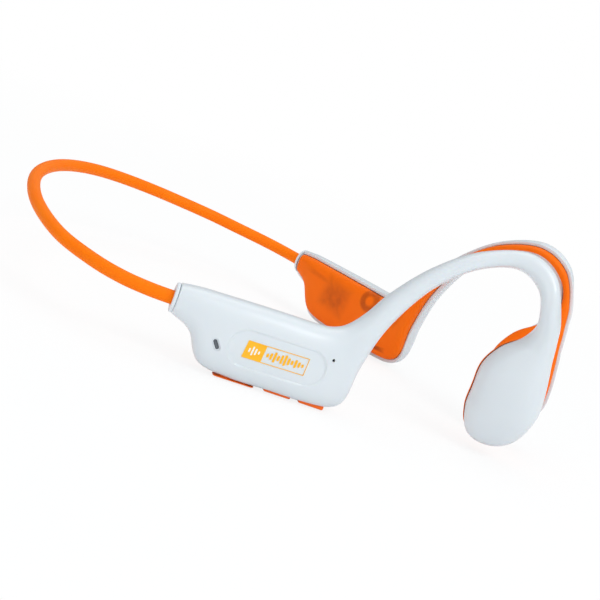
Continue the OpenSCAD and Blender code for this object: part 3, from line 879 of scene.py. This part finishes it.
@dataclass
class InnerCover:
    """Tinted cover on the skin side: set in the housing's rim, lapped over the pod's.

    Attributes:
        side: Wearer's side.
        rings: Sections along the unit.
        across: Points over each section.
        thick: Wall thickness, mm.
        hook_inset: How far it is drawn in on the hook's outer edge, mm.
        pod_inset: The same on the pod's outer edge, mm.
        pod_lap: How far it laps over the pod's inner edge, mm.
        below_rim: Depth of its edge below the housing's rim, mm.
        closer: How much nearer the rim its edge is past the housing, mm.
    """

    side: Side
    rings: int = 300
    across: int = 44
    thick: float = 0.75
    hook_inset: float = 1.2
    pod_inset: float = 0.9
    pod_lap: float = 0.3
    below_rim: float = 0.1
    closer: float = 0.07

    def insets(self, t: Array) -> tuple[Array, Array]:
        """How far the cover is drawn in: the rim's width, blended along the unit.

        Args:
            t: Places along the unit.

        Returns:
            Insets of the outer edge and of the inner edge, in millimetres.
        """
        hook, pod = FORM.hook_share(t), FORM.pod_share(t)
        edge = FORM.wall + FORM.cover_gap
        outer = edge * (1 - hook) + self.hook_inset * hook * (1 - pod) + self.pod_inset * pod
        inner = edge * (1 - pod) - self.pod_lap * pod + FORM.rim_more(t)
        return outer, inner

    def build(self) -> None:
        """Makes the domed skin: depth s + (b - s)(1 - |e|^p)^(1/p) below the rim."""
        t = np.linspace(0.15, FORM.last - 0.04, self.rings)
        full = FORM.profile(t)
        width = FORM.half_width(full)
        outer, inner = (np.minimum(v, 0.84 * width) for v in self.insets(t))
        s = SKIRT_SHARE * full[:, 5] + self.below_rim - self.closer * FORM.hook_share(t)
        b = np.maximum(full[:, 5], s + 0.05)
        e = np.cos(np.linspace(0, math.pi, self.across))[None, :]
        p = FORM.cover_power
        dome = np.maximum(0, 1 - np.abs(e) ** p) ** (1 / p)
        w = -s[:, None] - (b - s)[:, None] * dome
        wall = np.minimum(self.thick, s * 0.9)[:, None]
        back = w + wall * (1 - FORM.hook_share(t)[:, None] * np.abs(e) ** 6)
        half = (width - (outer + inner) / 2)[:, None]
        shift = ((inner - outer) / 2)[:, None]
        skin = FORM.place(full, (e * half + shift) / width[:, None], w)
        under = FORM.place(full, (e * 0.98 * half + shift) / width[:, None], back)
        rings = np.concatenate([skin, under[:, ::-1]], axis=1)
        word = self.side.word
        obj = ring_solid(f"{word}_cover", rings, self.side, sharp=60)
        finish_piece(obj, "orange_cover", self.side.body, [f"{word}_inner_cover"])
        # The cover's material has painted shade where parts sit behind it.
        obj.data.materials[0] = self.tinted()

    def tinted(self) -> bpy.types.Material:
        """Tinted polycarbonate with painted shade: soft darker patches painted where parts are
        glued behind it.

        Each patch is a box in its own frame, with x and y as shares of its half
        sizes: max(|x|, |y|) eased over its edge. A ring is the size of
        hypot(x, y) - (1 - ring width).

        Returns:
            The cover's material, on Object coordinates, for this side.
        """
        mat = FINISHES["orange_cover"].build()
        mat.name = f"orange_tinted_polycarbonate_{self.side.word}"
        tree = mat.node_tree
        shader = next(n for n in tree.nodes if n.type == "BSDF_PRINCIPLED")
        base = shader.inputs["Base Color"].links[0].from_socket
        coords = add_node(tree, "ShaderNodeTexCoord").outputs["Object"]
        wobble = add_node(tree, "ShaderNodeTexNoise", Vector=coords, Scale=420.0)
        shade: bpy.types.NodeSocket | None = None
        for (d, z), (long, tall), turn, ring, soft, dark in PAINTED_SHADE_PATCHES:
            axes, origin = tilted(*FORM.wall_frame(d, z), turn)
            flip = np.array([self.side.value, 1, 1])
            up, forward = axes[:, 0] * flip, axes[:, 1] * flip
            turned = Matrix(np.stack([up, forward, np.cross(up, forward)]).tolist())
            spot = add_node(tree, "ShaderNodeVectorMath", {"operation": "SUBTRACT"}, i0=coords,
                            i1=tuple(origin * flip * MM)).outputs["Vector"]
            local = add_node(tree, "ShaderNodeMapping", Vector=spot,
                             Rotation=tuple(turned.to_euler())).outputs["Vector"]
            parts = add_node(tree, "ShaderNodeSeparateXYZ", Vector=local)
            x = self.size_share(tree, parts.outputs["X"], tall)
            y = self.size_share(tree, parts.outputs["Y"], long)
            if ring:
                x2 = add_node(tree, "ShaderNodeMath", {"operation": "POWER"}, i0=x, i1=2.0)
                y2 = add_node(tree, "ShaderNodeMath", {"operation": "MULTIPLY_ADD"}, i0=y, i1=y,
                              i2=x2.outputs[0])
                far = add_node(tree, "ShaderNodeMath", {"operation": "SQRT"}, i0=y2.outputs[0])
                off = add_node(tree, "ShaderNodeMath", {"operation": "SUBTRACT"},
                               i0=far.outputs[0], i1=1.0 - ring)
                away = add_node(tree, "ShaderNodeMath", {"operation": "ABSOLUTE"},
                                i0=off.outputs[0]).outputs[0]
                low, high = ring * 0.5, ring * (1 + soft)
            else:
                away = add_node(tree, "ShaderNodeMath", {"operation": "MAXIMUM"}, i0=x,
                                i1=y).outputs[0]
                low, high = 1.0 - soft, 1.0 + soft
            mask = add_node(tree, "ShaderNodeMapRange", {"interpolation_type": "SMOOTHSTEP"},
                            Value=away, i1=low, i2=high, i3=dark, i4=0.0).outputs["Result"]
            shade = mask if shade is None else add_node(
                tree, "ShaderNodeMath", {"operation": "MAXIMUM"}, i0=shade, i1=mask).outputs[0]
        uneven = add_node(tree, "ShaderNodeMath", {"operation": "MULTIPLY_ADD"},
                          i0=wobble.outputs["Fac"], i1=1.2, i2=0.4)
        share = add_node(tree, "ShaderNodeMath", {"operation": "MULTIPLY"}, i0=shade,
                         i1=uneven.outputs[0])
        # Painted shade: inside the patches the cover's colour is mixed towards dark orange 9C3E0C.
        mixed = add_node(tree, "ShaderNodeMix", {"data_type": "RGBA"}, i0=share.outputs[0],
                         i6=base, i7=linear("9C3E0C"))
        tree.links.new(mixed.outputs[2], shader.inputs["Base Color"])
        return mat

    @staticmethod
    def size_share(tree: bpy.types.NodeTree, socket: bpy.types.NodeSocket,
                   half: float) -> bpy.types.NodeSocket:
        """Distance from the patch's middle as a share of its half size.

        Args:
            tree: Node tree to add to.
            socket: Coordinate along one axis of the patch, in metres.
            half: Half size of the patch along that axis, mm.

        Returns:
            Socket with |coordinate| / half size.
        """
        away = add_node(tree, "ShaderNodeMath", {"operation": "ABSOLUTE"}, i0=socket)
        return add_node(tree, "ShaderNodeMath", {"operation": "DIVIDE"}, i0=away.outputs[0],
                        i1=half * MM).outputs[0]


@dataclass
class Ferrule:
    """Oval end ring where the band enters the housing."""

    side: Side
    points: int = 96

    def build(self) -> None:
        """Revolves a rounded lip profile round an oval that eases into the bore."""
        axes, origin = FORM.wall_frame(0, 0.2)
        a = np.linspace(0, 2 * math.pi, self.points, endpoint=False)
        # Rows: share of the way from bore (0) to oval (1), depth along the band.
        lip = np.array([
            (0.0, 2.9), (0.0, 0.0), (0.02, -0.7), (0.12, -0.93), (0.3, -1.0), (0.75, -0.97),
            (0.93, -0.86), (0.99, -0.66), (1.0, -0.4), (1.0, -0.09), (0.18, -0.09), (0.18, 2.9),
        ])
        bore = np.stack([2.05 * np.cos(a) - 0.2, 2.05 * np.sin(a)], -1)
        oval = np.stack([4.1 * np.cos(a), 3.6 * np.sin(a)], -1)
        k = lip[:, 0][:, None, None]
        xy = bore * (1 - k) + oval * k
        y = np.broadcast_to(lip[:, 1][:, None], xy.shape[:2])
        local = np.stack([xy[..., 0], y, xy[..., 1]], axis=-1)
        pts = local @ axes.T + origin
        m, n = pts.shape[:2]
        quads = grid_faces(m + 1, n) % (m * n)
        word = self.side.word
        obj = new_piece(f"{word}_end_ring", pts.reshape(-1, 3), quads[:, ::-1].tolist(), self.side)
        finish_piece(obj, "grey_white_ring", self.side.body, [f"{word}_ferrule"])


@dataclass
class Neckband:
    """Silicone band with its spring wire and signal cable, in two halves.

    Attributes:
        sides: Points round the sleeve.
        rings: Sections along each half.
        core_radius: Radius of the wire and of the cable, mm.
        core_lift: How far the wire is above the middle, and the cable below it, mm.
        core_sides: Points round the wire and the cable.
        bend_end: Not used.
    """

    sides: int = 40
    rings: int = 220
    core_radius: float = 0.5
    core_lift: float = 0.62
    core_sides: int = 10
    bend_end: float = 0.125

    def half(self, side: Side, name: str, radius: float, lift: float, slot: str,
             first: float, sides: int, nodes: Sequence[str]) -> None:
        """Sweeps a round section along half of the band.

        Args:
            side: Which half.
            name: Name of the piece, without its side.
            radius: Radius of the section, mm.
            lift: Height above the band's middle, mm.
            slot: Material slot.
            first: Place along the half band where it starts.
            sides: Points round the section.
            nodes: CAD nodes that it stands for.
        """
        u = np.linspace(first, 1.0, self.rings)
        path = BAND.at(u) + [0, 0, lift]
        path[-1, 0] = 0.0
        rings = tube_rings(path, radius, sides)
        rings[-1, :, 0] = 0.0
        obj = ring_solid(f"{name}_{side.word}", rings, side)
        finish_piece(obj, slot, None, nodes)
        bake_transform(obj)

    def build(self) -> None:
        """Makes both halves of the sleeve, the wire and the cable."""
        for side in Side:
            self.half(side, "band_skin", BAND.radius, 0.0, "band_silicone", 0.03, self.sides,
                      ["band_sleeve"])
            self.half(side, "band_wire", self.core_radius, self.core_lift, "titanium_wire",
                      0.005, self.core_sides, ["band_spring_wire"])
            self.half(side, "band_cable", self.core_radius, -self.core_lift, "cable_jacket",
                      0.005, self.core_sides, ["band_signal_cable"])


@dataclass
class Controls:
    """Volume keys, port flap and status window of the right unit.

    Attributes:
        proud: How far the keys stand out of the underside, mm.
        key_half_width: Half the width of a key, mm.
    """

    proud: float = 0.5
    key_half_width: float = 1.3

    def key(self, name: str, node: str, d: float, length: float, body: str) -> None:
        """Silicone key: a flat pillow with a rolled edge.

        Args:
            name: Name of the piece.
            node: CAD node that it stands for.
            d: Forward place of its middle, mm.
            length: Length of the key, mm.
            body: Body that it rides on.
        """
        axes, origin = FORM.underside_frame(d, UNDERSIDE_Z)
        heights = [-1.7, -1.35, -1.34, self.proud - 0.45, self.proud - 0.2, self.proud - 0.06,
                   self.proud]
        insets = [0.0, 0.0, 0.0, 0.0, 0.07, 0.22, 0.5]
        half = (self.key_half_width, length / 2)
        obj = stack_piece(name, axes, origin, heights, insets, half, 0.55, Side.RIGHT)
        finish_piece(obj, "key_orange", body, [node])

    def flap(self) -> None:
        """Silicone port flap: a thin rounded lid with its plug."""
        axes, origin = FORM.underside_frame(20.0, -15.7)
        lid = stack_piece("port_lid", axes, origin + axes[:, 1] * 0.1,
                          [0.15, 0.18, 0.3, 0.4, 0.47, 0.5], [0.05, 0.0, 0.0, 0.08, 0.2, 0.4],
                          (1.8, 5.8), 1.0, Side.RIGHT)
        finish_piece(lid, "flap_orange", "flap", ["port_flap"])
        plug = stack_piece("port_plug", axes, origin + axes[:, 1] * 0.25,
                           [-1.04, -0.98, -0.8, 0.16], [0.3, 0.1, 0.0, 0.0],
                           (1.1, 4.2), 0.9, Side.RIGHT)
        finish_piece(plug, "flap_orange", "flap")

    def window(self) -> None:
        """Smoked light pipe just under the shell's face, with a pale surround."""
        axes, origin = tilted(*FORM.wall_frame(*WINDOW_AT), WINDOW_TILT)
        obj = stack_piece("status_window", axes, origin, [1.0, 4.6, 4.78, 4.86, 4.9],
                          [0, 0, 0.06, 0.2, 0.4], (0.52, 1.42), 0.52, Side.RIGHT)
        finish_piece(obj, "window_smoke", "right_unit", ["led_window"])
        ring = stack_piece("window_surround", axes, origin, [3.6, 4.8, 4.94, 4.96],
                           [0, 0, 0.06, 0.14], (0.84, 1.79), 0.84, Side.RIGHT)
        cut(ring, [stack_piece("cut_ring", axes, origin, [3.0, 6.0], [0, 0], (0.53, 1.43), 0.53,
                               Side.RIGHT)])
        finish_piece(ring, "grey_white_ring", "right_unit")

    def build(self) -> None:
        """Makes every control on the right unit."""
        self.key("key_up", "volume_up_key", KEY_UP_D, 7.7, "volume_up")
        self.key("key_down", "volume_down_key", KEY_DOWN_D, 7.2, "volume_down")
        self.flap()
        self.window()


@dataclass
class Badge:
    """Printed badge in the recess: a block with sound bars and a framed strip of bars.

    Attributes:
        high: Height of the print above the recess floor, mm.
        middle: Share across the section where the badge's middle lies.
        bars: Heights of the bars in the strip, as shares of the tallest.
    """

    high: float = 0.14
    middle: float = -0.067
    bars: tuple = (0.35, 0.6, 0.95, 0.5, 0.8, 1.0, 0.65, 0.4, 0.75, 0.5, 0.3)

    def along(self, y: Array) -> Array:
        """Place t along the profile for forward distances y in mm."""
        t = np.linspace(2.5, 6.0, 400)
        row = FORM.profile(t)
        d = row[:, 2] + (row[:, 0] - row[:, 2]) * 0.42
        return np.interp(y, d, t)

    def surface(self, y: Array, v: Array, lift: float) -> Array:
        """Points over the recess floor, which is the shell's face less the recess depth.

        Args:
            y: Forward distances, mm.
            v: Heights from the badge's middle, mm.
            lift: Height above the floor, mm.

        Returns:
            Points in frame millimetres, in the shape of y with 3 at the end.
        """
        t = self.along(y)
        row = FORM.profile(t.ravel())
        e = self.middle + v / FORM.half_width(row).reshape(t.shape)
        w = row[:, 4].reshape(t.shape) * (1 - np.abs(e) ** FORM.power) ** (1 / FORM.power)
        upper, lower = row[:, 0:2].reshape(*t.shape, 2), row[:, 2:4].reshape(*t.shape, 2)
        dz = (upper + lower) / 2 + (upper - lower) / 2 * e[..., None]
        return FORM.spot(dz[..., 0], dz[..., 1], w - RECESS_DEPTH + lift)

    def patch(self, name: str, outline: Array, finish: str, lift: float,
              hole: Array | None = None) -> bpy.types.Object:
        """Thin raised patch on the floor, inside an outline of y and v.

        Args:
            name: Name of the piece.
            outline: Points of the edge, going round once.
            finish: Finish key.
            lift: Height of its top above the floor, mm.
            hole: Inner edge for a frame, with as many points.

        Returns:
            The patch, dressed.
        """
        centre = outline.mean(axis=0)
        inner = hole if hole is not None else centre + (outline - centre) * 0.02
        share = np.linspace(1, 0, 9)[:, None, None]
        plan = inner[None] * (1 - share) + outline[None] * share
        top = self.surface(plan[..., 0], plan[..., 1], lift)
        low = self.surface(plan[..., 0], plan[..., 1], -0.05)
        rings = np.concatenate([low[:1], top, low[-1:]], axis=0)
        m, n = rings.shape[:2]
        faces = grid_faces(m, n)
        if hole is None:
            caps = [list(range((m - 2) * n, (m - 1) * n))]
            faces = faces[: (m - 2) * n].tolist() + caps + [list(range(n))[::-1]]
            rings = rings[:-1]
        else:
            faces = (grid_faces(m + 1, n) % (m * n)).tolist()
        turned = [list(f)[::-1] for f in faces]
        obj = new_piece(name, rings.reshape(-1, 3), turned, Side.RIGHT)
        dress(obj, finish)
        return obj

    def build(self) -> None:
        """Makes the block, its bars, the frame and the strip of bars."""
        block = rounded_outline(2.3, 2.42, 0.16)[0] + [BADGE_START + 2.3, 0]
        pieces = [self.patch("badge_block", block, "badge_yellow", self.high)]
        outer = rounded_outline(5.62, 2.42, 0.16)[0] + [BADGE_START + 10.2, 0]
        inner = rounded_outline(5.44, 2.24, 0.1)[0] + [BADGE_START + 10.2, 0]
        pieces.append(self.patch("badge_frame", outer, "badge_yellow", self.high, inner))
        for i, tall in enumerate(self.bars):
            bar = rounded_outline(0.29, 1.5 * tall, 0.27)[0] + [BADGE_START + 5.7 + 0.9 * i, 0]
            pieces.append(self.patch(f"badge_bar_{i}", bar, "badge_yellow", self.high))
        for i, tall in enumerate((0.45, 1.0, 0.7, 0.35)):
            bar = rounded_outline(0.2, 1.25 * tall, 0.19)[0] + [BADGE_START + 1.1 + 0.8 * i, 0]
            pieces.append(self.patch(f"badge_wave_{i}", bar, "badge_white", self.high + 0.03))
        for i, obj in enumerate(pieces):
            if i == 0:
                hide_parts("badge")
            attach(obj, "right_unit")


@dataclass
class PlayButton:
    """Oval play button in the left unit's recess, with its length in mm."""

    length: float = 13.0

    def build(self) -> None:
        """Stacks rounded outlines into a softly crowned oval key."""
        axes, origin = FORM.wall_frame(*PLAY_AT, 3.25)
        obj = stack_piece("play_key", axes, origin, [0, 0.5, 1.9, 2.08, 2.17, 2.2],
                          [-0.4, 0.0, 0.0, 0.12, 0.4, 0.9], (2.3, self.length / 2), 2.3,
                          Side.LEFT)
        finish_piece(obj, "white_button", "play", ["play_button"])


@dataclass
class Studio:
    """Camera, lights and floor.

    Attributes:
        place: Camera's place, mm.
        turn: World-to-camera turn, as an axis times its angle in radians.
        focal_px: Focal length in image widths of frame_px.
        frame_px: Width of the image that focal_px belongs to.
        sensor_mm: Camera's sensor width.
        floor_z: Height of the floor, mm.
        bright_way: Direction of the dome's bright side.
        dome: Strength of the dome away from and towards bright_way.
        lamps: Name, place, aim, size (metres) and power (watts) of each light.
    """

    place: tuple = (-386.25, -94.23, 100.94)
    turn: tuple = (1.7313, -0.9111, 1.2005)
    focal_px: float = 1344.6
    frame_px: float = 600.0
    sensor_mm: float = 36.0
    floor_z: float = -0.05
    bright_way: tuple = (-0.25, -0.45, 0.85)
    dome: tuple = (0.28, 0.78)
    lamps: tuple = (
        ("key", (-0.30, -0.60, 0.70), (0.0, -0.03, 0.03), 0.45, 2.9),
        ("side", (-0.85, 0.20, 0.25), (0.0, 0.0, 0.03), 0.5, 1.0),
        ("top", (0.15, 0.15, 0.85), (0.0, 0.0, 0.02), 0.6, 1.25),
    )

    def build(self) -> None:
        """Sets up the camera, the soft lights and the pale floor."""
        self.camera()
        self.floor()
        self.lights()

    def camera(self) -> None:
        """Camera from its world-to-camera turn: rows are right, down, forward."""
        angle = float(np.linalg.norm(self.turn))
        turn = np.array(Matrix.Rotation(angle, 3, Vector(self.turn)))
        data = bpy.data.cameras.new("view")
        data.sensor_width = self.sensor_mm
        data.lens = self.sensor_mm * self.focal_px / self.frame_px
        data.clip_start, data.clip_end = 0.01, 20.0
        cam = bpy.data.objects.new("view", data)
        bpy.context.scene.collection.objects.link(cam)
        basis = np.stack([turn[0], -turn[1], -turn[2]], axis=-1)
        stand = Matrix.Translation(Vector(self.place) * MM)
        cam.matrix_world = stand @ Matrix(basis.tolist()).to_4x4()
        bpy.context.scene.camera = cam

    def floor(self) -> None:
        """Large pale floor, a flat grid just under the lowest point."""
        n = 9
        g = np.linspace(-4000, 4000, n)
        x, y = np.meshgrid(g, g, indexing="ij")
        pts = np.stack([x, y, np.full_like(x, self.floor_z)], -1).reshape(-1, 3)
        obj = new_piece("floor", pts, grid_faces(n, n, closed=False)[:, ::-1].tolist(), sharp=None)
        obj.data.materials.append(self.backdrop())

    @staticmethod
    def backdrop() -> bpy.types.Material:
        """Pale matt paper that keeps a soft contact shadow and fades into the white.

        Returns:
            The floor's material.
        """
        mat = bpy.data.materials.new("pale_matt_paper")
        mat.use_nodes = True
        tree = mat.node_tree
        tree.nodes.clear()
        place = add_node(tree, "ShaderNodeTexCoord").outputs["Object"]
        fibre = add_node(tree, "ShaderNodeTexNoise", Vector=place, Scale=900.0).outputs["Fac"]
        paper = add_node(tree, "ShaderNodeMix", {"data_type": "RGBA"}, i0=fibre,
                         i6=linear("FAFBFB"), i7=linear("F6F7F8")).outputs[2]
        matt = add_node(tree, "ShaderNodeBsdfPrincipled", Base_Color=paper, Roughness=0.9)
        matt.inputs["Specular IOR Level"].default_value = 0.1
        glow = add_node(tree, "ShaderNodeEmission", Color=(1.0, 1.0, 1.0, 1.0), Strength=1.0)
        away = add_node(tree, "ShaderNodeVectorMath", {"operation": "LENGTH"}, i0=place)
        fade = add_node(tree, "ShaderNodeMapRange", Value=away.outputs["Value"], i1=0.12, i2=0.45,
                        i3=0.85, i4=1.0).outputs["Result"]
        seen = add_node(tree, "ShaderNodeLightPath").outputs["Is Camera Ray"]
        share = add_node(tree, "ShaderNodeMath", {"operation": "MULTIPLY"}, i0=seen, i1=fade)
        mix = add_node(tree, "ShaderNodeMixShader", i0=share.outputs[0],
                       i1=matt.outputs["BSDF"], i2=glow.outputs["Emission"])
        end = add_node(tree, "ShaderNodeOutputMaterial")
        tree.links.new(mix.outputs["Shader"], end.inputs["Surface"])
        return mat

    def sky(self) -> None:
        """White for the camera; for the object a soft dome, brighter towards the key."""
        world = bpy.data.worlds.new("soft_white")
        bpy.context.scene.world = world
        world.use_nodes = True
        tree = world.node_tree
        tree.nodes.clear()
        way = add_node(tree, "ShaderNodeTexCoord").outputs["Generated"]
        facing = add_node(tree, "ShaderNodeVectorMath", {"operation": "DOT_PRODUCT"}, i0=way,
                          i1=self.bright_way).outputs["Value"]
        power = add_node(tree, "ShaderNodeMapRange", Value=facing, i1=-1.0, i2=1.0,
                         i3=self.dome[0], i4=self.dome[1]).outputs["Result"]
        dome = add_node(tree, "ShaderNodeBackground", Color=(0.95, 0.98, 1.0, 1.0), Strength=power)
        white = add_node(tree, "ShaderNodeBackground", Color=(1.0, 1.0, 1.0, 1.0), Strength=1.0)
        seen = add_node(tree, "ShaderNodeLightPath").outputs["Is Camera Ray"]
        mix = add_node(tree, "ShaderNodeMixShader", i0=seen, i1=dome.outputs[0],
                       i2=white.outputs[0])
        end = add_node(tree, "ShaderNodeOutputWorld")
        tree.links.new(mix.outputs["Shader"], end.inputs["Surface"])

    def lights(self) -> None:
        """Soft surroundings and three large soft lights."""
        self.sky()
        for name, place, aim, size, power in self.lamps:
            data = bpy.data.lights.new(name, "AREA")
            data.energy, data.size = power, size
            obj = bpy.data.objects.new(name, data)
            bpy.context.scene.collection.objects.link(obj)
            away = Vector(place) - Vector(aim)
            turn = away.to_track_quat("Z", "Y").to_matrix().to_4x4()
            obj.matrix_world = Matrix.Translation(Vector(place)) @ turn
        bpy.context.scene.view_settings.view_transform = "Standard"


def dress_hidden_parts() -> None:
    """Gives every CAD node that stays its own finish, from the record's slots."""
    for item in frame["record"]["subparts"]:
        obj = frame["nodes"][item["node"]]
        if not obj.hide_render:
            dress(obj, item["material_slot"])


def main() -> None:
    """Builds the sub-assemblies in order."""
    logging.basicConfig(level=logging.INFO, format="%(name)s %(message)s")
    for side in Side:
        OuterShell(side).build()
        InnerCover(side).build()
        Ferrule(side).build()
    Neckband().build()
    Controls().build()
    Badge().build()
    PlayButton().build()
    dress_hidden_parts()
    Studio().build()


if __name__ == "__main__":
    main()
